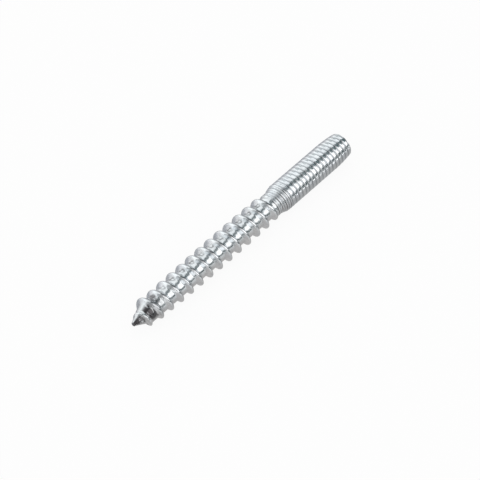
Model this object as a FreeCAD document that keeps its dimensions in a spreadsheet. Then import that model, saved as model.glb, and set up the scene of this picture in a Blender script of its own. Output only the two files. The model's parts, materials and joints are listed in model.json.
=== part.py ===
"""Hanger bolt: one zinc plated steel rod with a wood screw thread on one end and a machine stud on the other.

It lies level along X with its point at -X and the flat end of the stud at +X. The origin is on the surface that
it rests on, below its middle. The wood thread is a true right-hand helix that grows out of the gimlet point and
fades into the stud. The fine machine thread is its plain major diameter here.
"""
import FreeCAD, Part
import os
import Sketcher

NODE = "hanger_bolt"

# Driving dimensions in millimetres and degrees
SIZES = (
    ("overall_length", 60.0, "tip of the point to the flat end of the stud"),
    ("stud_length", 22.0, "machine end, from the shoulder to the flat end"),
    ("stud_diameter", 5.95, "over the crests of the machine thread"),
    ("stud_end_length", 2.2, "taper that leads a nut on"),
    ("stud_end_diameter", 5.2, "small end of that taper"),
    ("stud_end_bevel", 0.35, "bevel round the flat end"),
    ("run_in_length", 3.2, "first turns of the stud, where its thread isn't full"),
    ("run_in_diameter", 5.1, "stud at the shoulder"),
    ("shoulder_length", 0.8, "slope from the core of the wood thread to the stud"),
    ("core_diameter", 4.2, "root of the wood thread"),
    ("point_length", 3.6, "cone of the gimlet point"),
    ("nose_diameter", 0.6, "blunt end of the point"),
    ("nose_radius", 0.2, "rounding of the blunt end"),
    ("wood_pitch", 2.67, "advance of the wood thread in one turn"),
    ("crest_diameter", 6.1, "over the crests of the wood thread"),
    ("first_crest_diameter", 5.75, "over the crest where it leaves the point"),
    ("rising_crest_diameter", 4.7, "over the crest half a turn before that"),
    ("last_crest_diameter", 5.95, "over the crest where it starts to fade"),
    ("crest_width", 0.5, "flat top of the ridge"),
    ("flank_angle", 27.0, "each flank of the ridge, from square to the axis"),
    ("foot_depth", 0.3, "how deep the ridge is rooted in the core"),
    ("thread_begins", 0.25, "from the tip to the first trace of the ridge"),
    ("first_trace_diameter", 0.7, "over the ridge at its first trace"),
    ("first_trace_width", 0.1, "top of the ridge at its first trace"),
    ("fade_past_shoulder", 1.1, "how far past the shoulder the ridge may fade out"),
    ("clocking", -70.0, "turn of the whole bolt about its axis"),
)

# Turns on the point and in the fading end. After each half turn the ridge's section lies in the XZ plane.
RISING_TURNS = 1
POINT_TURNS = 1.5
FADING_TURNS = 1

SHOULDER = "(Sizes.overall_length - Sizes.stud_length)"
RISING_PLACE = f"(Sizes.thread_begins + {RISING_TURNS} * Sizes.wood_pitch)"
THREAD_START = f"(Sizes.thread_begins + {POINT_TURNS} * Sizes.wood_pitch)"
ALL_TURNS = (
    f"floor(({SHOULDER} + Sizes.fade_past_shoulder - {THREAD_START}) / Sizes.wood_pitch - {FADING_TURNS})"
)
GROWING_TURNS = f"floor({ALL_TURNS} / 2)"
FULL_TURNS = f"({ALL_TURNS} - {GROWING_TURNS})"
FULL_START = f"({THREAD_START} + {GROWING_TURNS} * Sizes.wood_pitch)"
FADE_START = f"({THREAD_START} + {ALL_TURNS} * Sizes.wood_pitch)"
FADE_END = f"({FADE_START} + {FADING_TURNS} * Sizes.wood_pitch)"


def make_sheet(doc):
    """The driving dimensions, one row each, under the aliases that everything else refers to."""
    sheet = doc.addObject("Spreadsheet::Sheet", "Sizes")
    for row, (alias, value, meaning) in enumerate(SIZES, start=1):
        sheet.set(f"A{row}", alias)
        sheet.set(f"B{row}", str(value))
        sheet.set(f"C{row}", meaning)
        sheet.setAlias(f"B{row}", alias)
    doc.recompute()
    return sheet


def origin_part(body, role):
    """One of the body's own origin planes or axes."""
    return next(item for item in body.Origin.OriginFeatures if item.Role == role)


def tie_corner(sketch, line, kind, expression, value):
    """Ties one coordinate of a line's first end to its expression, or to the axis where it is nought."""
    if expression == "0":
        # In a sketch the axes are the lines -1, horizontal, and -2, vertical
        axis = -2 if kind == "DistanceX" else -1
        sketch.addConstraint(Sketcher.Constraint("PointOnObject", line, 1, axis))
        return
    number = sketch.addConstraint(Sketcher.Constraint(kind, -1, 1, line, 1, value))
    sketch.setExpression(f"Constraints[{number}]", expression)


def outline(body, name, corners):
    """A closed outline of straight sides in the XZ plane, each corner given as expressions for X and Z."""
    sketch = body.newObject("Sketcher::SketchObject", name)
    sketch.AttachmentSupport = [(origin_part(body, "XZ_Plane"), "")]
    sketch.MapMode = "FlatFace"
    points = [
        FreeCAD.Vector(float(sketch.evalExpression(along)), float(sketch.evalExpression(out)), 0)
        for along, out in corners
    ]
    following = points[1:] + points[:1]
    for start, end in zip(points, following):
        sketch.addGeometry(Part.LineSegment(start, end), False)
    for line in range(len(points)):
        sketch.addConstraint(Sketcher.Constraint("Coincident", line, 2, (line + 1) % len(points), 1))
    for line, (along, out) in enumerate(corners):
        tie_corner(sketch, line, "DistanceX", along, points[line].x)
        tie_corner(sketch, line, "DistanceY", out, points[line].y)
    return sketch


def add_rod(body):
    """The rod without its wood thread: point, core, shoulder, run-in, stud and the stud's bevelled taper."""
    corners = [
        ("0", "0"),
        ("0", "Sizes.nose_diameter / 2"),
        ("Sizes.point_length", "Sizes.core_diameter / 2"),
        (f"{SHOULDER} - Sizes.shoulder_length / 2", "Sizes.core_diameter / 2"),
        (f"{SHOULDER} + Sizes.shoulder_length / 2", "Sizes.run_in_diameter / 2"),
        (f"{SHOULDER} + Sizes.run_in_length", "Sizes.stud_diameter / 2"),
        ("Sizes.overall_length - Sizes.stud_end_length", "Sizes.stud_diameter / 2"),
        ("Sizes.overall_length - Sizes.stud_end_bevel", "Sizes.stud_end_diameter / 2"),
        ("Sizes.overall_length", "Sizes.stud_end_diameter / 2 - Sizes.stud_end_bevel"),
        ("Sizes.overall_length", "0"),
    ]
    rod = body.newObject("PartDesign::Revolution", "Rod")
    rod.Profile = outline(body, "Rod_outline", corners)
    rod.ReferenceAxis = (origin_part(body, "X_Axis"), [""])
    body.Document.recompute()
    return rod


def round_nose(body, rod):
    """Rounds the rim of the point's blunt end."""
    rims = [
        f"Edge{number}"
        for number, edge in enumerate(rod.Shape.Edges, start=1)
        if edge.Curve.TypeId == "Part::GeomCircle" and abs(edge.Curve.Center.x) < 1e-6
    ]
    rounding = body.newObject("PartDesign::Fillet", "Nose_rounding")
    rounding.Base = (rod, rims)
    rounding.setExpression("Radius", "Sizes.nose_radius")
    body.Document.recompute()
    return rounding


def ridge_section(body, name, place, crest, foot, width, below=False):
    """The ridge's section, a flat crest and two sloping flanks, above the axis or below it."""
    side = "-" if below else ""
    half_crest = f"{width} / 2"
    half_foot = f"({half_crest} + ({crest} - {foot}) * tan(Sizes.flank_angle))"
    corners = [
        (f"{place} - {half_foot}", f"{side}{foot}"),
        (f"{place} - {half_crest}", f"{side}{crest}"),
        (f"{place} + {half_crest}", f"{side}{crest}"),
        (f"{place} + {half_foot}", f"{side}{foot}"),
    ]
    return outline(body, name, corners)


def add_spine(doc, name, start, turns, below=False):
    """A right-hand helix about the X axis, which starts above the axis or below it."""
    up = -1 if below else 1
    spine = doc.addObject("Part::Helix", name)
    spine.SegmentLength = 1
    turned = FreeCAD.Rotation(FreeCAD.Vector(0, 0, up), FreeCAD.Vector(0, -up, 0), FreeCAD.Vector(1, 0, 0), "ZXY")
    spine.Placement = FreeCAD.Placement(FreeCAD.Vector(), turned)
    spine.setExpression("Placement.Base.x", start)
    spine.setExpression("Pitch", "Sizes.wood_pitch")
    spine.setExpression("Height", f"{turns} * Sizes.wood_pitch")
    spine.setExpression("Radius", "Sizes.crest_diameter / 2")
    doc.recompute()
    return spine


def add_stretch(body, name, spine, first, *others):
    """One stretch of the ridge, swept along its helix while its section changes from first to each of the others."""
    stretch = body.newObject("PartDesign::AdditivePipe", name)
    stretch.Profile = first
    stretch.Spine = (spine, [f"Edge{number}" for number in range(1, len(spine.Shape.Edges) + 1)])
    stretch.Mode = "Binormal"
    stretch.Binormal = FreeCAD.Vector(1, 0, 0)
    stretch.Transformation = "Multisection"
    stretch.Sections = list(others)
    body.Document.recompute()
    return stretch


def add_wood_thread(body):
    """The ridge in four stretches: winding up the point, growing, of full height, and fading into the stud."""
    doc = body.Document
    trace_crest = "Sizes.first_trace_diameter / 2"
    rising_crest = "Sizes.rising_crest_diameter / 2"
    first_crest = "Sizes.first_crest_diameter / 2"
    full_crest = "Sizes.crest_diameter / 2"
    last_crest = "Sizes.last_crest_diameter / 2"
    sunk_crest = "Sizes.run_in_diameter / 2"
    height = "(Sizes.crest_diameter / 2 - Sizes.core_diameter / 2 + Sizes.foot_depth)"
    width = "Sizes.crest_width"

    trace = ridge_section(body, "First_trace", "Sizes.thread_begins", trace_crest, f"{trace_crest} / 4",
                          "Sizes.first_trace_width", below=True)
    rising = ridge_section(body, "Rising_crest", RISING_PLACE, rising_crest, f"({rising_crest} - {height})", width,
                           below=True)
    first = ridge_section(body, "First_crest", THREAD_START, first_crest, f"({first_crest} - {height})", width)
    grown = ridge_section(body, "Grown_crest", FULL_START, full_crest, f"({full_crest} - {height})", width)
    last = ridge_section(body, "Last_crest", FADE_START, last_crest, f"({last_crest} - {height})", width)
    sunk = ridge_section(body, "Sunk_crest", FADE_END, sunk_crest, f"({sunk_crest} - {height})", width)

    point_spine = add_spine(doc, "Point_spine", "Sizes.thread_begins", POINT_TURNS, below=True)
    growing_spine = add_spine(doc, "Growing_spine", THREAD_START, GROWING_TURNS)
    full_spine = add_spine(doc, "Full_spine", FULL_START, FULL_TURNS)
    fading_spine = add_spine(doc, "Fading_spine", FADE_START, FADING_TURNS)

    add_stretch(body, "Point_thread", point_spine, trace, rising, first)
    add_stretch(body, "Growing_thread", growing_spine, first, grown)
    add_stretch(body, "Full_thread", full_spine, grown, last)
    add_stretch(body, "Fading_thread", fading_spine, last, sunk)


def lay_down(body):
    """Lays the bolt level on its crests, with the origin on the surface below its middle."""
    body.Placement = FreeCAD.Placement(FreeCAD.Vector(), FreeCAD.Rotation(FreeCAD.Vector(1, 0, 0), 0))
    body.setExpression("Placement.Base.x", "-Sizes.overall_length / 2")
    body.setExpression("Placement.Base.z", "Sizes.crest_diameter / 2")
    body.setExpression("Placement.Rotation.Angle", "Sizes.clocking")


def check(doc, body):
    """Stops if anything in the document failed, or if the bolt isn't one sound solid."""
    for item in doc.Objects:
        if {"Invalid", "Error"} & set(item.State):
            raise RuntimeError(f"{item.Name} failed: {item.State}")
    if body.Shape.isNull() or not body.Shape.isValid() or len(body.Shape.Solids) != 1:
        raise RuntimeError(f"{body.Label} isn't one sound solid")


def main():
    doc = FreeCAD.newDocument("Hanger_bolt")
    make_sheet(doc)
    body = doc.addObject("PartDesign::Body", "Body")
    body.Label = NODE
    round_nose(body, add_rod(body))
    add_wood_thread(body)
    lay_down(body)
    doc.recompute()
    check(doc, body)
    os.makedirs("parts", exist_ok=True)
    body.Shape.exportStep(f"parts/{NODE}.step")
    print(f"{NODE}: volume {body.Shape.Volume:.1f} cubic mm")
    return doc


main()
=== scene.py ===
"""Looks of a hanger bolt: a zinc plated steel rod with a coarse wood screw thread on one end and a
fine machine thread on the other.

One mesh stands for the whole bolt. Its rows of points follow the helix of each thread, so that
crests and roots stay crisp. The bolt lies on a pale floor among glowing and matt cards, which its
plating mirrors.
"""
import json
import math

import bpy
from bpy.props import FloatProperty, FloatVectorProperty, PointerProperty
from mathutils import Matrix, Vector, noise


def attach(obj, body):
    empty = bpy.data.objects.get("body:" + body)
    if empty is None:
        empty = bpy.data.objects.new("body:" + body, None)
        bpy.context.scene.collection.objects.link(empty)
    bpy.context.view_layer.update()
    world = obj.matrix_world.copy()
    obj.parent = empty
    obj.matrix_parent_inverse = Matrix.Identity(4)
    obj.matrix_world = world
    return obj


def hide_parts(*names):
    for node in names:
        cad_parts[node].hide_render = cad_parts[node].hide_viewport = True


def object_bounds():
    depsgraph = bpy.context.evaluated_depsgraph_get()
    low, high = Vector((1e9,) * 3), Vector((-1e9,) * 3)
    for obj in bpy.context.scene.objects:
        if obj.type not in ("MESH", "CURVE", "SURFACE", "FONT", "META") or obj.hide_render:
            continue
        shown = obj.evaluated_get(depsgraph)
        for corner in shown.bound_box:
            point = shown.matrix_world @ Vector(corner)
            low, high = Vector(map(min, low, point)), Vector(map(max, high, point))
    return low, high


bl_info = {
    "name": "Hanger Bolt",
    "version": (1, 0, 0),
    "blender": (4, 5, 0),
    "location": "3D View > Sidebar > Hanger Bolt",
    "description": "Makes a zinc plated hanger bolt and the plain stage that it lies on",
    "category": "Object",
}

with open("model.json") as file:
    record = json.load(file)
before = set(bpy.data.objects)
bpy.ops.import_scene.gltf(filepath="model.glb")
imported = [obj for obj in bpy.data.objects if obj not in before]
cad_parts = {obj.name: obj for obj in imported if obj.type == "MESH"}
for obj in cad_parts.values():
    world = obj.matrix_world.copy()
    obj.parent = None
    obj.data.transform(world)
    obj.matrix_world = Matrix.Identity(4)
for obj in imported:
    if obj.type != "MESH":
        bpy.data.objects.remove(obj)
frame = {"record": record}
CAD_LOW, CAD_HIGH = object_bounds()

MM = 0.001
NODE = "hanger_bolt"
BODY = "root"
MOUNTS = {mount["name"]: mount for mount in frame["record"]["mounts"]}
STUD = MOUNTS["machine_stud"]
# Taken off the stud's diameter, so that the uneven plating stays inside the plain solid's box
STUD_TRIM = 0.01 * MM


class BoltSizes(bpy.types.PropertyGroup):
    """Sizes of the bolt and its two threads"""

    length: FloatProperty(
        name="Length",
        description="Tip of the point to the flat end",
        default=CAD_HIGH.x - CAD_LOW.x,
        unit="LENGTH",
    )
    axis_height: FloatProperty(
        name="Axis Height",
        description="Axis above the floor",
        default=STUD["pos_m"][2],
        unit="LENGTH",
    )
    stud_length: FloatProperty(
        name="Stud Length",
        description="Machine end, from the shoulder",
        default=22 * MM,
        unit="LENGTH",
    )
    stud_diameter: FloatProperty(
        name="Stud Diameter",
        description="Over the crests of the machine thread",
        default=2 * STUD["dims"]["r_mm"] * MM - STUD_TRIM,
        unit="LENGTH",
    )
    stud_root_diameter: FloatProperty(
        name="Stud Root Diameter",
        description="Root of the machine thread",
        default=5.5 * MM,
        unit="LENGTH",
    )
    stud_pitch: FloatProperty(
        name="Stud Pitch",
        description="Advance of the machine thread in a turn",
        default=1 * MM,
        unit="LENGTH",
    )
    core_diameter: FloatProperty(
        name="Core Diameter",
        description="Root of the wood thread",
        default=4.18 * MM,
        unit="LENGTH",
    )
    crest_diameter: FloatProperty(
        name="Crest Diameter",
        description="Over the largest crests of the wood thread",
        default=6.06 * MM,
        unit="LENGTH",
    )
    wood_pitch: FloatProperty(
        name="Wood Pitch",
        description="Advance of the wood thread in a turn",
        default=2.67 * MM,
        unit="LENGTH",
    )
    point_length: FloatProperty(
        name="Point Length",
        description="Cone of the gimlet point",
        default=3.6 * MM,
        unit="LENGTH",
    )


class ZincFinish(bpy.types.PropertyGroup):
    """Colours and gloss of the plating"""

    bright: FloatVectorProperty(
        name="Bright Zinc",
        description="Clean plating",
        default=(0.865, 0.885, 0.895),
        subtype="COLOR",
        size=3,
    )
    blue: FloatVectorProperty(
        name="Blue Zinc",
        description="Bluish tinge of the plating",
        default=(0.8, 0.83, 0.86),
        subtype="COLOR",
        size=3,
    )
    dull: FloatVectorProperty(
        name="Dull Zinc",
        description="Thin or stained plating",
        default=(0.6, 0.62, 0.63),
        subtype="COLOR",
        size=3,
    )
    hollow: FloatVectorProperty(
        name="Root Zinc",
        description="Root of the wood thread",
        default=(0.62, 0.64, 0.65),
        subtype="COLOR",
        size=3,
    )
    # Painted shade: a dark tone laid into the roots of the machine thread, where shade falls
    groove: FloatVectorProperty(
        name="Painted Groove Shade",
        description="Root of the machine thread",
        default=(0.34, 0.36, 0.38),
        subtype="COLOR",
        size=3,
    )
    # Dark tone of the rings on each turn of the wood thread, of the line along its crests and of
    # the scratches of the run-in
    stain: FloatVectorProperty(
        name="Stained Zinc",
        description="Rolling marks, edges of the wood thread and scratches of the run-in",
        default=(0.12, 0.115, 0.12),
        subtype="COLOR",
        size=3,
    )
    # Dark film near the point; on its front it is painted dark reflection as well
    scale: FloatVectorProperty(
        name="Dark Film and Reflection",
        description="Dark film near the point",
        default=(0.085, 0.079, 0.083),
        subtype="COLOR",
        size=3,
    )
    gloss: FloatProperty(
        name="Roughness",
        description="Roughness of the clean plating",
        default=0.13,
        min=0,
        max=1,
        subtype="FACTOR",
    )
    dullness: FloatProperty(
        name="Dull Roughness",
        description="Roughness where it is dull",
        default=0.26,
        min=0,
        max=1,
        subtype="FACTOR",
    )


class StageLook(bpy.types.PropertyGroup):
    """Floor and light"""

    floor: FloatVectorProperty(
        name="Floor",
        description="Colour of the floor",
        default=(0.9, 0.9, 0.9),
        subtype="COLOR",
        size=3,
    )
    floor_lift: FloatProperty(
        name="Floor Lift",
        description="Share of plain white in what is seen of the floor",
        default=0.92,
        min=0,
        max=1,
        subtype="FACTOR",
    )
    daylight: FloatProperty(
        name="Daylight",
        description="Strength of the light from all round",
        default=0.9,
        min=0,
    )


def eased(value):
    """A smooth step from 0 to 1 as the value goes from 0 to 1."""
    share = min(max(value, 0.0), 1.0)
    return share * share * (3 - 2 * share)


def rise(value, start, run):
    """A smooth step from 0 to 1 as the value goes from the start to the end of a run."""
    return eased((value - start) / run)


def facing(angle, degrees, least, run):
    """A smooth step from 0 to 1 as the cosine between an angle and a direction grows."""
    return rise(math.cos(angle - math.radians(degrees)), least, run)


def soft_line(offset, width):
    """How much of a blurred line shows at an offset: 1 in its middle, near 0 at two widths."""
    return math.exp(-((offset / width) ** 2))


def along(place, stations):
    """The value at a place on straight runs between stations, each a place and a value."""
    if place <= stations[0][0]:
        return stations[0][1]
    for (start, before), (end, after) in zip(stations, stations[1:]):
        if place <= end:
            return before + (after - before) * (place - start) / (end - start)
    return stations[-1][1]


class BoltForm:
    """The bolt's surface: a radius at each place along its axis, from the tip, and each angle."""

    # Where the wood thread's crest first stands at its full width
    FIRST_CREST = 4.255 * MM
    FIRST_CREST_ANGLE = math.radians(20)
    # The ridge's profile: place across it in millimetres, from its tip side to its stud side, and
    # share of its height
    RIDGE_RUN = (
        (-0.8, 0), (-0.73, 0.05), (-0.66, 0.15), (-0.24, 0.88), (-0.14, 0.97), (-0.06, 1),
        (0.06, 1), (0.14, 0.96), (0.24, 0.84), (0.66, 0.12), (0.73, 0.04), (0.8, 0),
    )
    # Half of the groove's profile: place from the middle of a crest, as a share of the pitch, and
    # share of the depth
    GROOVE_RUN = ((0.25, 0), (0.3, 0.1), (0.44, 0.93), (0.48, 1))
    # Distances of the rows of points from the middle of a crest: in millimetres on the wood
    # thread, and as shares of the pitch on the machine thread
    WOOD_ROWS = (0.06, 0.14, 0.24, 0.34, 0.45, 0.56, 0.66, 0.73, 0.8, 0.97)
    STUD_ROWS = (0.06, 0.14, 0.25, 0.3, 0.35, 0.395, 0.44)
    # The dark ring dented into each turn of the wood thread at one angle: its middle, from the +Y
    # side and from the crest, its size, and the width of its line as a share of its size
    RING_ANGLE = math.radians(68)
    RING_MIDDLE = -1.02 * MM
    RING_HALF_WIDTH = 0.34 * MM
    RING_HALF_LENGTH = 0.46 * MM
    RING_RADIUS = 2.1 * MM
    RING_LINE = 0.42
    RING_DEPTH = 0.03 * MM
    # Least depth of the machine thread, and the notches and long scratches where it begins
    LEAST_DEPTH = 0.2 * MM
    NOTCH_DEPTH = 0.14 * MM
    NOTCH_WIDTH = 0.1 * MM
    SCRATCH_DEPTH = 0.06 * MM
    # Heights of the broad and of the fine unevenness of the rolled surface
    BROAD_UNEVEN = 0.015 * MM
    FINE_UNEVEN = 0.008 * MM

    def __init__(self, sizes):
        self.sizes = sizes
        core = sizes.core_diameter / 2
        crest = sizes.crest_diameter / 2
        stud = sizes.stud_diameter / 2
        end = sizes.length
        self.shoulder = end - sizes.stud_length
        self.rod_stations = (
            (0, 0.3 * MM),
            (sizes.point_length, core),
            (self.shoulder - 0.5 * MM, core),
            (self.shoulder + 0.3 * MM, 2.52 * MM),
            (self.shoulder + 1.6 * MM, 2.54 * MM),
            (self.shoulder + 2.9 * MM, 2.93 * MM),
            (self.shoulder + 3.8 * MM, stud),
            (end - 4 * MM, stud),
            (end - 1.9 * MM, 2.84 * MM),
            (end - 0.5 * MM, 2.68 * MM),
            (end - 0.2 * MM, 2.62 * MM),
            (end, 2.56 * MM),
        )
        self.crest_stations = (
            (0.25 * MM, 0.35 * MM),
            (1.64 * MM, 1.28 * MM),
            (2.98 * MM, 2.42 * MM),
            (4.3 * MM, 2.96 * MM),
            (5.6 * MM, 2.74 * MM),
            (11 * MM, 2.88 * MM),
            (20 * MM, crest - 0.02 * MM),
            (23 * MM, crest),
            (31 * MM, crest - 0.01 * MM),
            (36.3 * MM, 2.95 * MM),
            (37.7 * MM, 2.8 * MM),
            (39 * MM, 2.5 * MM),
        )
        self.width_stations = ((0, 0.45), (1.9 * MM, 0.55), (4 * MM, 1))
        self.stain_stations = (
            (0, 1),
            (0.6 * MM, 1),
            (1.5 * MM, 0.9),
            (2.3 * MM, 0.8),
            (3 * MM, 1),
            (5.4 * MM, 0.9),
            (6.3 * MM, 0.6),
            (6.9 * MM, 0),
        )

    def rod(self, place):
        """Radius of the rod under its wood thread and over its machine thread, corners softened."""
        reach = 0.1 * MM
        return (
            along(place - reach, self.rod_stations)
            + 2 * along(place, self.rod_stations)
            + along(place + reach, self.rod_stations)
        ) / 4

    def ridge(self, place, angle):
        """The wood thread: distance across it, how far it stands out, share of its full height."""
        pitch = self.sizes.wood_pitch
        turns = (place - self.FIRST_CREST) / pitch - (angle - self.FIRST_CREST_ANGLE) / math.tau
        across = (turns - round(turns)) * pitch
        crest = along(place - across, self.crest_stations)
        narrowing = along(place - across, self.width_stations)
        share = along(across / MM / narrowing, self.RIDGE_RUN)
        return across, max(crest - self.rod(place), 0) * share, share

    def ring(self, across, place, angle):
        """How strong the dark ring is, in patches. Near the point its inside is dark too."""
        aside = math.remainder(across - self.RING_MIDDLE, self.sizes.wood_pitch)
        around = math.remainder(angle - self.RING_ANGLE, math.tau) * self.RING_RADIUS
        off_line = math.hypot(aside / self.RING_HALF_WIDTH, around / self.RING_HALF_LENGTH) - 1
        if off_line < 0:
            off_line *= rise(place, 7 * MM, 2 * MM)
        spot = Vector((place / MM * 1.4, 3 * math.cos(angle), 3 * math.sin(angle)))
        patchiness = min(max(0.75 + 0.9 * noise.noise(spot), 0.4), 1)
        return patchiness * soft_line(off_line, self.RING_LINE)

    def edge(self, across, standing, place, angle):
        """How dark the wood thread's edge is: wider and nearer the tip on its upper side."""
        upper = facing(angle, 45, 0.1, 0.3)
        front = facing(angle, 115, 0.45, 0.35)
        middle = (0.09 - 0.1 * upper) * MM
        width = (0.08 + 0.05 * upper) * MM
        grown = min(standing / (0.3 * MM), 1) * rise(place, 3.6 * MM, MM)
        return (0.3 + 0.6 * front) * soft_line(across - middle, width) * grown

    def groove(self, place, angle):
        """The machine thread: depth of its cut, nearness to its root and to a scratch, 0 to 1."""
        pitch = self.sizes.stud_pitch
        turns = (place - self.shoulder) / pitch - angle / math.tau
        across = (turns - round(turns)) * pitch
        nearness = along(abs(across) / pitch, self.GROOVE_RUN)
        into = place - self.shoulder
        begun = 0.35 * rise(into, 0, 0.5 * MM) + 0.65 * rise(into, 1.2 * MM, 2 * MM)
        full_depth = max(self.rod(place) - self.sizes.stud_root_diameter / 2, self.LEAST_DEPTH)
        early = rise(into, 0, 0.4 * MM) * (1 - rise(into, 3.4 * MM, 1.2 * MM))
        notch = early * soft_line(across, self.NOTCH_WIDTH)
        wave = noise.noise(Vector(((place / MM - angle / math.tau) * 2.3, angle * 0.9, 0.3)))
        cut = full_depth * begun * nearness
        cut += self.NOTCH_DEPTH * notch + self.SCRATCH_DEPTH * early * wave
        long_scratch = 0.3 * early * rise(wave, 0.16, 0.15) * (1 - 0.6 * begun)
        front = 0.25 + 0.75 * facing(angle, 145, 0.45, 0.4)
        return cut, nearness * (0.5 + 0.5 * begun), front * max(notch, long_scratch)

    def stain(self, share, place, angle):
        """How dark the film near the point is, most in roots, with painted reflection in front."""
        # Painted dark reflection: far darker round one angle in front, which turns upwards away
        # from the tip
        middle = 130 - 42 * rise(place, 4.9 * MM, 1.2 * MM)
        front = 0.2 + 0.8 * facing(angle, middle, 0.55, 0.3)
        low = 0.25 + 0.75 * (1 - rise(share, 0.05, 0.25))
        return along(place, self.stain_stations) * front * low

    def surface(self, place, angle):
        """The finished surface: its radius, and four shares from 0 to 1.

        They are the wood thread's root, the machine thread's root with its painted shade, marks,
        and the film with its painted reflection.
        """
        radius = 2.5 * MM
        spot = Vector((place, radius * math.cos(angle), radius * math.sin(angle))) / MM
        uneven = self.BROAD_UNEVEN * noise.noise(spot * 1.3)
        uneven += self.FINE_UNEVEN * noise.noise(spot * 3.7)
        across, standing, share = self.ridge(place, angle)
        cut, root, scratch = self.groove(place, angle)
        on_stud = rise(place, self.shoulder, 0.8 * MM)
        ring = self.ring(across, place, angle) * (1 - on_stud) * rise(place, 5 * MM, MM)
        mark = max(ring, self.edge(across, standing, place, angle), scratch)
        return (
            self.rod(place) + standing - cut - self.RING_DEPTH * ring + uneven,
            (1 - share) * (1 - on_stud),
            root * on_stud,
            min(mark, 1),
            self.stain(share, place, angle),
        )


class Skin:
    """Points and faces of the bolt's closed surface, added from the tip to the flat end."""

    COLUMNS = 128
    MARGIN = 0.02 * MM
    ROUNDING_STEPS = 5
    NOSE_STAIN = 0.9
    END_STAIN = 0.3

    def __init__(self, form, axis_height):
        self.form = form
        self.axis_height = axis_height
        self.points = []
        self.hollows = []
        self.grooves = []
        self.marks = []
        self.stains = []
        self.faces = []
        self.angles = [math.tau * column / self.COLUMNS for column in range(self.COLUMNS)]

    def add_point(self, place, angle, radius, hollow=1.0, groove=0.0, mark=0.0, stain=END_STAIN):
        half = self.form.sizes.length / 2
        across = radius * math.cos(angle)
        height = self.axis_height + radius * math.sin(angle)
        self.points.append((place - half, across, height))
        self.hollows.append(hollow)
        self.grooves.append(groove)
        self.marks.append(mark)
        self.stains.append(stain)
        return len(self.points) - 1

    def add_surface_point(self, place, angle):
        return self.add_point(place, angle, *self.form.surface(place, angle))

    def add_surface_ring(self, place):
        return [self.add_surface_point(place, angle) for angle in self.angles]

    def join_rings(self, before, after):
        for column in range(self.COLUMNS):
            following = (column + 1) % self.COLUMNS
            self.faces.append((before[column], before[following], after[following], after[column]))

    def close_tip(self, ring, place):
        """A rounded nose from the ring at the given place down to the tip."""
        radii = [self.form.surface(place, angle)[0] for angle in self.angles]
        for layer in range(self.ROUNDING_STEPS - 1, 0, -1):
            turn = math.pi / 2 * layer / self.ROUNDING_STEPS
            lower_place = place * (1 - math.cos(turn))
            lower = [
                self.add_point(lower_place, angle, radius * math.sin(turn), stain=self.NOSE_STAIN)
                for angle, radius in zip(self.angles, radii)
            ]
            self.join_rings(lower, ring)
            ring = lower
        tip = self.add_point(0, 0, 0)
        for column in range(self.COLUMNS):
            self.faces.append((tip, ring[(column + 1) % self.COLUMNS], ring[column]))

    def close_end(self, ring, place):
        """A rounded rim from the ring at the given place, and the slightly dished flat end."""
        end = self.form.sizes.length
        rim, dish, dish_steps = 2.42 * MM, 0.09 * MM, 9
        radii = [self.form.surface(place, angle)[0] for angle in self.angles]
        for layer in range(1, self.ROUNDING_STEPS + 1):
            turn = math.pi / 2 * layer / self.ROUNDING_STEPS
            higher_place = place + (end - place) * math.sin(turn)
            higher = [
                self.add_point(higher_place, angle, rim + (radius - rim) * math.cos(turn))
                for angle, radius in zip(self.angles, radii)
            ]
            self.join_rings(ring, higher)
            ring = higher
        for step in range(1, dish_steps):
            inward = step / dish_steps
            # The dish has its full depth from five eighths of the way to its middle
            sunk = dish * eased(inward / 0.625)
            inner = [self.add_point(end - sunk, angle, rim * (1 - inward)) for angle in self.angles]
            self.join_rings(ring, inner)
            ring = inner
        middle = self.add_point(end - dish, 0, 0)
        for column in range(self.COLUMNS):
            self.faces.append((ring[column], ring[(column + 1) % self.COLUMNS], middle))

    def add_threaded_zone(self, start, end, thread):
        """Rows of points that follow a thread's helix, between two rings, each with its place.

        The thread is its pitch, the distances at which rows lie on either side of the middle of a
        crest, and the place and the angle of one crest.
        """
        (before, low), (after, high) = start, end
        pitch, distances, crest_place, crest_angle = thread
        offsets = sorted([0, pitch / 2, *distances, *(pitch - distance for distance in distances)])
        rows = len(offsets)
        columns = []
        for angle in self.angles:
            base = crest_place + pitch * (angle - crest_angle) / math.tau
            first_turn = math.floor((low - base) / pitch)
            last_turn = math.ceil((high - base) / pitch)
            column = {}
            for turn in range(first_turn, last_turn + 1):
                for row, offset in enumerate(offsets):
                    place = base + turn * pitch + offset
                    if low + self.MARGIN < place < high - self.MARGIN:
                        column[turn * rows + row] = self.add_surface_point(place, angle)
            columns.append(column)
        columns.append({row - rows: point for row, point in columns[0].items()})
        for column in range(self.COLUMNS):
            following = (column + 1) % self.COLUMNS
            below = (before[column], before[following])
            above = (after[column], after[following])
            self.join_columns(columns[column], columns[column + 1], below, above)

    def join_columns(self, here, there, below, above):
        """Faces between two neighbouring columns, out to the two rings that bound them."""
        shared = sorted(set(here) & set(there))
        first, last = shared[0], shared[-1]
        for row in shared[:-1]:
            self.faces.append((here[row], there[row], there[row + 1], here[row + 1]))
        there_low = [there[row] for row in sorted(there) if row <= first]
        here_low = [here[row] for row in sorted(here, reverse=True) if row <= first]
        self.faces.append((*below, *there_low, *here_low))
        there_high = [there[row] for row in sorted(there) if row >= last]
        here_high = [here[row] for row in sorted(here, reverse=True) if row >= last]
        self.faces.append((*there_high, above[1], above[0], *here_high))


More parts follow.
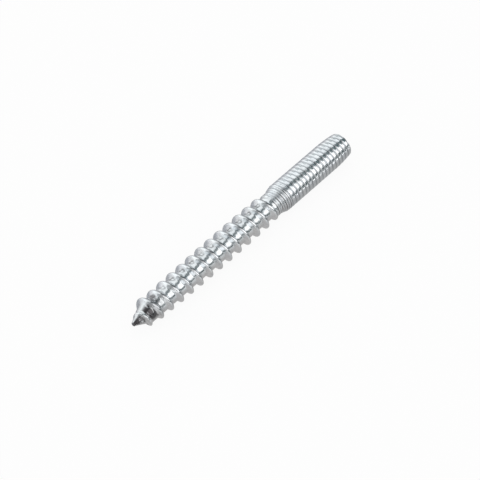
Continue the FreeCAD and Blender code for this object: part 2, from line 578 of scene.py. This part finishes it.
def make_bolt_mesh(sizes):
    """The whole bolt as one closed mesh, with its four shares as attributes of the points."""
    form = BoltForm(sizes)
    skin = Skin(form, sizes.axis_height)
    nose, join, rim = 0.3 * MM, form.shoulder + 0.25 * MM, sizes.length - 0.2 * MM
    nose_ring = skin.add_surface_ring(nose)
    join_ring = skin.add_surface_ring(join)
    rim_ring = skin.add_surface_ring(rim)
    skin.close_tip(nose_ring, nose)
    wood_rows = [distance * MM for distance in form.WOOD_ROWS]
    wood_thread = (sizes.wood_pitch, wood_rows, form.FIRST_CREST, form.FIRST_CREST_ANGLE)
    skin.add_threaded_zone((nose_ring, nose), (join_ring, join), wood_thread)
    stud_rows = [distance * sizes.stud_pitch for distance in form.STUD_ROWS]
    stud_thread = (sizes.stud_pitch, stud_rows, form.shoulder, 0)
    skin.add_threaded_zone((join_ring, join), (rim_ring, rim), stud_thread)
    skin.close_end(rim_ring, rim)
    mesh = bpy.data.meshes.new("bolt")
    mesh.from_pydata(skin.points, [], skin.faces)
    mesh.polygons.foreach_set("use_smooth", [True] * len(mesh.polygons))
    shares = {
        "hollow": skin.hollows,
        "groove": skin.grooves,
        "mark": skin.marks,
        "stain": skin.stains,
    }
    for name, values in shares.items():
        mesh.attributes.new(name, "FLOAT", "POINT").data.foreach_set("value", values)
    mesh.update()
    return mesh


class Value:
    """One output of a shader's node. Operators on it add the Math nodes that they stand for."""

    def __init__(self, tree, socket):
        self.tree = tree
        self.socket = socket

    def math(self, operation, first, second):
        return self.tree.add("ShaderNodeMath", {"operation": operation}, {0: first, 1: second})

    def output(self, name):
        return Value(self.tree, self.socket.node.outputs[name])

    def __add__(self, other):
        return self.math("ADD", self, other)

    def __radd__(self, other):
        return self.math("ADD", other, self)

    def __sub__(self, other):
        return self.math("SUBTRACT", self, other)

    def __mul__(self, other):
        return self.math("MULTIPLY", self, other)

    def __truediv__(self, other):
        return self.math("DIVIDE", self, other)


class Shader:
    """A node tree that is cleared and then built up one node at a time."""

    def __init__(self, owner):
        owner.use_nodes = True
        self.nodes = owner.node_tree.nodes
        self.links = owner.node_tree.links
        self.nodes.clear()

    def add(self, kind, settings=None, sockets=None):
        """Adds a node, sets it up, fills or links its sockets and returns its first output."""
        node = self.nodes.new(kind)
        for name, setting in (settings or {}).items():
            if name == "stops":
                self.set_stops(node.color_ramp, setting)
            else:
                setattr(node, name, setting)
        for name, value in (sockets or {}).items():
            if isinstance(value, Value):
                self.links.new(value.socket, node.inputs[name])
            else:
                node.inputs[name].default_value = value
        return Value(self, node.outputs[0]) if node.outputs else None

    def set_stops(self, ramp, stops):
        while len(ramp.elements) < len(stops):
            ramp.elements.new(1)
        for element, (position, level) in zip(ramp.elements, stops):
            element.position = position
            element.color = (level, level, level, 1)

    def attribute(self, name):
        return self.add("ShaderNodeAttribute", {"attribute_name": name}).output("Fac")

    def noise(self, place, scale, detail, roughness=0.5):
        sockets = {"Vector": place, "Scale": scale, "Detail": detail, "Roughness": roughness}
        return self.add("ShaderNodeTexNoise", None, sockets)

    def stretched(self, place, factors):
        return self.add("ShaderNodeVectorMath", {"operation": "MULTIPLY"}, {0: place, 1: factors})

    def mix_colours(self, share, first, second):
        sockets = {0: share, 6: first, 7: second}
        mixed = self.add("ShaderNodeMix", {"data_type": "RGBA"}, sockets)
        return Value(self, mixed.socket.node.outputs[2])

    def ramp(self, stops, share):
        return self.add("ShaderNodeValToRGB", {"stops": stops}, {"Fac": share})


def colour(rgb):
    return (*rgb, 1)


def clean_plating(shader, finish, in_mm, dull):
    """Bright zinc with a bluish tinge in places, duller in blotches and small clouds."""
    tinge = shader.ramp(((0.35, 0), (0.65, 1)), shader.noise(in_mm, 0.35, 2))
    clean = shader.mix_colours(tinge, colour(finish.bright), colour(finish.blue))
    cloud = shader.ramp(((0.42, 0), (0.62, 1)), shader.noise(in_mm, 2.6, 2))
    return shader.mix_colours(dull * 0.4 + cloud * 0.25, clean, colour(finish.dull))


def threaded_plating(shader, finish, plated, dull):
    """The plating greyer in wood thread roots, painted shade in stud roots, dark in the marks."""
    deep = shader.ramp(((0.8, 0), (0.95, 1)), shader.attribute("hollow"))
    rooted = shader.mix_colours(deep * (0.3 + dull * 0.3), plated, colour(finish.hollow))
    # Painted shade in the roots of the machine thread
    groove = shader.attribute("groove") * 0.8
    grooved = shader.mix_colours(groove, rooted, colour(finish.groove))
    return shader.mix_colours(shader.attribute("mark") * 0.9, grooved, colour(finish.stain))


def dark_film_and_reflection(shader, in_mm):
    """Density of the dark film and painted reflection near the point, patchy along and round the
    bolt.
    """
    stain = shader.attribute("stain")
    streaks = shader.noise(shader.stretched(in_mm, (2.2, 0.9, 0.9)), 1.1, 4)
    return shader.ramp(((0.42, 0.1), (0.54, 1)), streaks + stain * 0.1) * stain


def scuffed_run_in(shader, place):
    """1 along most of the machine thread's run-in, which is rougher, and 0 elsewhere."""
    start, length = 8 * MM, 4 * MM
    lengthways = shader.add("ShaderNodeSeparateXYZ", None, {0: place})
    return shader.ramp(((0, 0), (0.1, 1), (0.75, 1), (1, 0)), (lengthways - start) / length)


def zinc_plating(finish):
    """Bright zinc: greyer in roots, with painted shade in the machine thread's roots, a dark film
    near the point that is painted reflection in front, and fine grain.
    """
    material = bpy.data.materials.new("zinc_plating")
    shader = Shader(material)
    place = shader.add("ShaderNodeTexCoord").output("Object")
    in_mm = shader.add("ShaderNodeVectorMath", {"operation": "SCALE"}, {0: place, "Scale": 1 / MM})
    dull = shader.ramp(((0.42, 0), (0.68, 1)), shader.noise(in_mm, 0.9, 4, 0.65))
    plated = clean_plating(shader, finish, in_mm, dull)
    threaded = threaded_plating(shader, finish, plated, dull)
    # Dark film near the point, with painted reflection on its front
    film = dark_film_and_reflection(shader, in_mm)
    grain = shader.noise(in_mm, 11, 3)
    rolling = shader.noise(shader.stretched(in_mm, (9, 1.1, 1.1)), 1, 3)
    polish = finish.gloss + dull * (finish.dullness - finish.gloss)
    rough = polish + grain * 0.05 + film * 0.12 + scuffed_run_in(shader, place) * 0.14
    relief = rolling * 0.6 + grain * 0.4
    bump_sockets = {"Height": relief, "Strength": 0.35, "Distance": 0.02 * MM}
    metal = shader.add("ShaderNodeBsdfPrincipled", None, {
        "Base Color": shader.mix_colours(film, threaded, colour(finish.scale)),
        "Metallic": 1.0,
        "Roughness": rough,
        "Normal": shader.add("ShaderNodeBump", None, bump_sockets),
    })
    shader.add("ShaderNodeOutputMaterial", None, {"Surface": metal})
    return material


def seen_as_background(shader):
    """1 for what is seen directly, in a mirror or through glass, and 0 for other light."""
    path = shader.add("ShaderNodeLightPath")
    seen = path.output("Is Camera Ray") + path.output("Is Glossy Ray")
    return seen + path.output("Is Transmission Ray")


def pale_floor(look):
    """Pale floor that keeps its shadows and is lifted towards white where it is seen."""
    material = bpy.data.materials.new("pale_floor")
    shader = Shader(material)
    lift = seen_as_background(shader) * look.floor_lift
    matt = shader.add("ShaderNodeBsdfDiffuse", None, {"Color": colour(look.floor)})
    white = shader.add("ShaderNodeEmission", None, {"Color": (1, 1, 1, 1), "Strength": 1.0})
    mixed = shader.add("ShaderNodeMixShader", None, {0: lift, 1: matt, 2: white})
    shader.add("ShaderNodeOutputMaterial", None, {"Surface": mixed})
    return material


def set_daylight(look):
    """White surroundings, which also give an even light."""
    world = bpy.data.worlds.new("daylight")
    bpy.context.scene.world = world
    shader = Shader(world)
    seen = seen_as_background(shader)
    strength = look.daylight + seen * (1 - look.daylight)
    sky = shader.add("ShaderNodeBackground", None, {"Color": (1, 1, 1, 1), "Strength": strength})
    shader.add("ShaderNodeOutputWorld", None, {"Surface": sky})


def glowing_card(name, tone):
    """Material of a card that shows one even tone in a mirror."""
    material = bpy.data.materials.new(name)
    shader = Shader(material)
    grey = shader.add("ShaderNodeEmission", None, {"Color": colour(tone), "Strength": 1.0})
    shader.add("ShaderNodeOutputMaterial", None, {"Surface": grey})
    return material


def matt_card(name, tone):
    """Material of a card that is darker in a mirror where something shades it."""
    material = bpy.data.materials.new(name)
    shader = Shader(material)
    grey = shader.add("ShaderNodeBsdfDiffuse", None, {"Color": colour(tone)})
    shader.add("ShaderNodeOutputMaterial", None, {"Surface": grey})
    return material


# Reaches of the cards along X. Where two cards meet, the plating of the wood end mirrors the one
# and that of the stud the other
LAST = 0.6
WHOLE = (-LAST, LAST)
WOOD_BAND, STUD_BAND = (-LAST, 0.166), (0.166, LAST)
POINT_TABLE, WOOD_TABLE = (-LAST, -38 * MM), (-38 * MM, 10 * MM)
WOOD_FLOOR, STUD_FLOOR = (-LAST, 10 * MM), (10 * MM, LAST)
WOOD_BACK, STUD_BACK = (-LAST, 0), (0, LAST)
WOOD_STRIP, STUD_STRIP = (-LAST, 27 * MM), (27 * MM, LAST)

# Cards round the bolt, mirrored as long bands: name, distance from the axis, angles of both edges
# in degrees from +Y over +Z, tone and reach
FAR = 0.3
ROUND_CARDS = (
    ("wood_low_back_card", FAR, (12, 45), (1.28, 1.32, 1.33), WOOD_BAND),
    ("stud_low_back_card", FAR, (12, 45), (0.5, 0.54, 0.55), STUD_BAND),
    ("wood_back_card", FAR, (45, 80), (1.1, 1.13, 1.14), WOOD_BAND),
    ("stud_back_card", FAR, (45, 83), (1.08, 1.12, 1.14), STUD_BAND),
    ("wood_overhead_card", FAR, (81, 109.5), (0.25, 0.28, 0.29), WOOD_BAND),
    ("stud_overhead_card", FAR, (84, 120), (0.1, 0.15, 0.16), STUD_BAND),
    ("wood_bright_card", FAR, (113, 160), (1.5, 1.5, 1.5), WOOD_BAND),
    ("stud_bright_card", FAR, (122, 156), (1.65, 1.65, 1.65), STUD_BAND),
    ("wood_front_card", FAR, (164, 185), (0.14, 0.17, 0.175), WOOD_BAND),
    ("stud_front_card", FAR, (156, 186), (0.07, 0.1, 0.105), STUD_BAND),
    ("camera_card", 0.06, (90, 180), (0.17, 0.15, 0.16), (-55 * MM, -42 * MM)),
)

# Cards just above the floor: name, kind, Y of both edges in millimetres, tone and reach
FLOOR_CARD_HEIGHT = 0.01 * MM
FLOOR_CARDS = (
    # The dark card right under the bolt is painted shadow of the bolt on the floor, as the plating
    # mirrors it
    ("under_card", matt_card, (3, -0.8), (0.3, 0.3, 0.3), WHOLE),
    ("wood_contact_card", glowing_card, (-0.8, -5), (0.51, 0.495, 0.49), WOOD_FLOOR),
    ("wood_near_card", glowing_card, (-5, -9.5), (0.56, 0.55, 0.545), WOOD_FLOOR),
    ("stud_contact_card", glowing_card, (-0.8, -9.5), (0.45, 0.45, 0.45), STUD_FLOOR),
    ("near_back_card", matt_card, (3, 18), (0.54, 0.55, 0.58), WHOLE),
    ("wood_back_table_card", glowing_card, (18, 300), (0.8, 0.8, 0.82), WOOD_BACK),
    ("stud_back_table_card", matt_card, (18, 300), (0.62, 0.63, 0.66), STUD_BACK),
    ("point_table_card", glowing_card, (-9.5, -300), (1.15, 1.15, 1.15), POINT_TABLE),
    ("wood_table_card", glowing_card, (-9.5, -300), (0.66, 0.67, 0.675), WOOD_TABLE),
    ("stud_table_card", matt_card, (-9.5, -41), (0.55, 0.56, 0.57), STUD_FLOOR),
    ("stud_far_table_card", glowing_card, (-41, -300), (0.12, 0.15, 0.155), STUD_FLOOR),
)

# Bright strips that lie on the floor cards in front of the bolt, laid out in the same way
STRIP_HEIGHT = 0.02 * MM
STRIPS = (
    ("wood_strip", glowing_card, (-23, -50), (0.9, 0.9, 0.9), WOOD_STRIP),
    ("stud_strip", glowing_card, (-21, -41), (2.1, 2.1, 2.1), STUD_STRIP),
)

# Upright cards beyond the bolt's ends: name, place in X, Y of both edges and tone
END_CARD_HEIGHT = 0.35
END_CARDS = (
    ("stud_side_card", 0.45, (-0.35, 0.35), (0.12, 0.13, 0.14)),
    ("front_point_side_card", -LAST, (-0.35, 0.02), (0.35, 0.35, 0.35)),
    ("middle_point_side_card", -LAST, (0.02, 0.2), (0.35, 0.37, 0.38)),
    ("back_point_side_card", -LAST, (0.2, 0.35), (1.1, 1.11, 1.12)),
)


def add_plane(name, corners, material):
    """A flat four-cornered piece of the stage."""
    mesh = bpy.data.meshes.new(name)
    mesh.from_pydata(corners, [], [(0, 1, 2, 3)])
    mesh.materials.append(material)
    plane = bpy.data.objects.new(name, mesh)
    bpy.context.collection.objects.link(plane)
    return plane


def add_card(corners, material):
    """A flat card that only the plating mirrors."""
    card = add_plane(material.name, corners, material)
    card.visible_camera = False
    card.visible_diffuse = False
    card.visible_shadow = False


def add_long_card(edges, material, reach):
    """A card along the bolt, between two edges given by their Y and Z."""
    start, end = reach
    (y0, z0), (y1, z1) = edges
    add_card([(start, y0, z0), (end, y0, z0), (end, y1, z1), (start, y1, z1)], material)


def add_end_card(place, sides, material):
    """An upright card across the bolt's line, between two places in Y."""
    (right, left), top = sides, END_CARD_HEIGHT
    corners = [(place, right, 0), (place, left, 0), (place, left, top), (place, right, top)]
    add_card(corners, material)


def beside(degrees, distance):
    """Y and Z of a place round the bolt's axis."""
    turn = math.radians(degrees)
    return distance * math.cos(turn), distance * math.sin(turn)


def add_cards():
    """Bright and dark cards, which give the plating its long bands, its tones and its flanks."""
    for name, distance, angles, tone, reach in ROUND_CARDS:
        edges = [beside(degrees, distance) for degrees in angles]
        add_long_card(edges, glowing_card(name, tone), reach)
    for height, cards in ((FLOOR_CARD_HEIGHT, FLOOR_CARDS), (STRIP_HEIGHT, STRIPS)):
        for name, kind, sides, tone, reach in cards:
            add_long_card([(side * MM, height) for side in sides], kind(name, tone), reach)
    for name, place, sides, tone in END_CARDS:
        add_end_card(place, sides, glowing_card(name, tone))


def add_camera():
    """The camera at the photograph's viewing angle, for a picture as wide as it is high."""
    picture, sensor = 480, 36
    focal = 1931.8
    azimuth, elevation = math.radians(-47.918), math.radians(51.5875)
    depth, right_of_middle, above_middle = 372.16 * MM, 0.891, 8.731
    aim = Vector((0, 0, 3.05 * MM))
    level = math.cos(elevation)
    back = Vector((math.sin(azimuth) * level, -math.cos(azimuth) * level, math.sin(elevation)))
    right = Vector((math.cos(azimuth), math.sin(azimuth), 0))
    up = back.cross(right)
    data = bpy.data.cameras.new("camera")
    data.sensor_width = sensor
    data.lens = focal / picture * sensor
    data.clip_start = 1 * MM
    camera = bpy.data.objects.new("camera", data)
    bpy.context.collection.objects.link(camera)
    turned = Matrix((right, up, back)).transposed().to_4x4()
    offset = (right * right_of_middle + up * above_middle) * depth / focal
    turned.translation = aim + back * depth - offset
    camera.matrix_world = turned
    bpy.context.scene.camera = camera


class BOLT_OT_make_bolt(bpy.types.Operator):
    """Makes the bolt and puts it in place of its plain solid"""

    bl_idname = "bolt.make_bolt"
    bl_label = "Make Bolt"

    def execute(self, context):
        scene = context.scene
        mesh = make_bolt_mesh(scene.bolt_sizes)
        mesh.materials.append(zinc_plating(scene.bolt_finish))
        bolt = bpy.data.objects.new("bolt", mesh)
        scene.collection.objects.link(bolt)
        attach(bolt, BODY)
        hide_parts(NODE)
        return {"FINISHED"}


class BOLT_OT_make_stage(bpy.types.Operator):
    """Makes the floor, the light, the cards and the camera"""

    bl_idname = "bolt.make_stage"
    bl_label = "Make Stage"

    def execute(self, context):
        look = context.scene.bolt_stage
        half = 3.0
        corners = [(-half, -half, 0), (half, -half, 0), (half, half, 0), (-half, half, 0)]
        add_plane("floor", corners, pale_floor(look))
        set_daylight(look)
        add_cards()
        add_camera()
        context.scene.view_settings.view_transform = "Standard"
        return {"FINISHED"}


class BOLT_PT_panel(bpy.types.Panel):
    """Sizes, finish and stage of the hanger bolt"""

    bl_idname = "BOLT_PT_panel"
    bl_label = "Hanger Bolt"
    bl_space_type = "VIEW_3D"
    bl_region_type = "UI"
    bl_category = "Hanger Bolt"

    def draw(self, context):
        scene = context.scene
        for group in (scene.bolt_sizes, scene.bolt_finish, scene.bolt_stage):
            box = self.layout.box()
            for name in group.__annotations__:
                box.prop(group, name)
        self.layout.operator(BOLT_OT_make_bolt.bl_idname)
        self.layout.operator(BOLT_OT_make_stage.bl_idname)


CLASSES = (
    BoltSizes,
    ZincFinish,
    StageLook,
    BOLT_OT_make_bolt,
    BOLT_OT_make_stage,
    BOLT_PT_panel,
)


def register():
    for item in CLASSES:
        bpy.utils.register_class(item)
    bpy.types.Scene.bolt_sizes = PointerProperty(type=BoltSizes)
    bpy.types.Scene.bolt_finish = PointerProperty(type=ZincFinish)
    bpy.types.Scene.bolt_stage = PointerProperty(type=StageLook)


def unregister():
    del bpy.types.Scene.bolt_stage
    del bpy.types.Scene.bolt_finish
    del bpy.types.Scene.bolt_sizes
    for item in reversed(CLASSES):
        bpy.utils.unregister_class(item)


def main():
    register()
    bpy.ops.bolt.make_bolt()
    bpy.ops.bolt.make_stage()


if __name__ == "__main__":
    main()
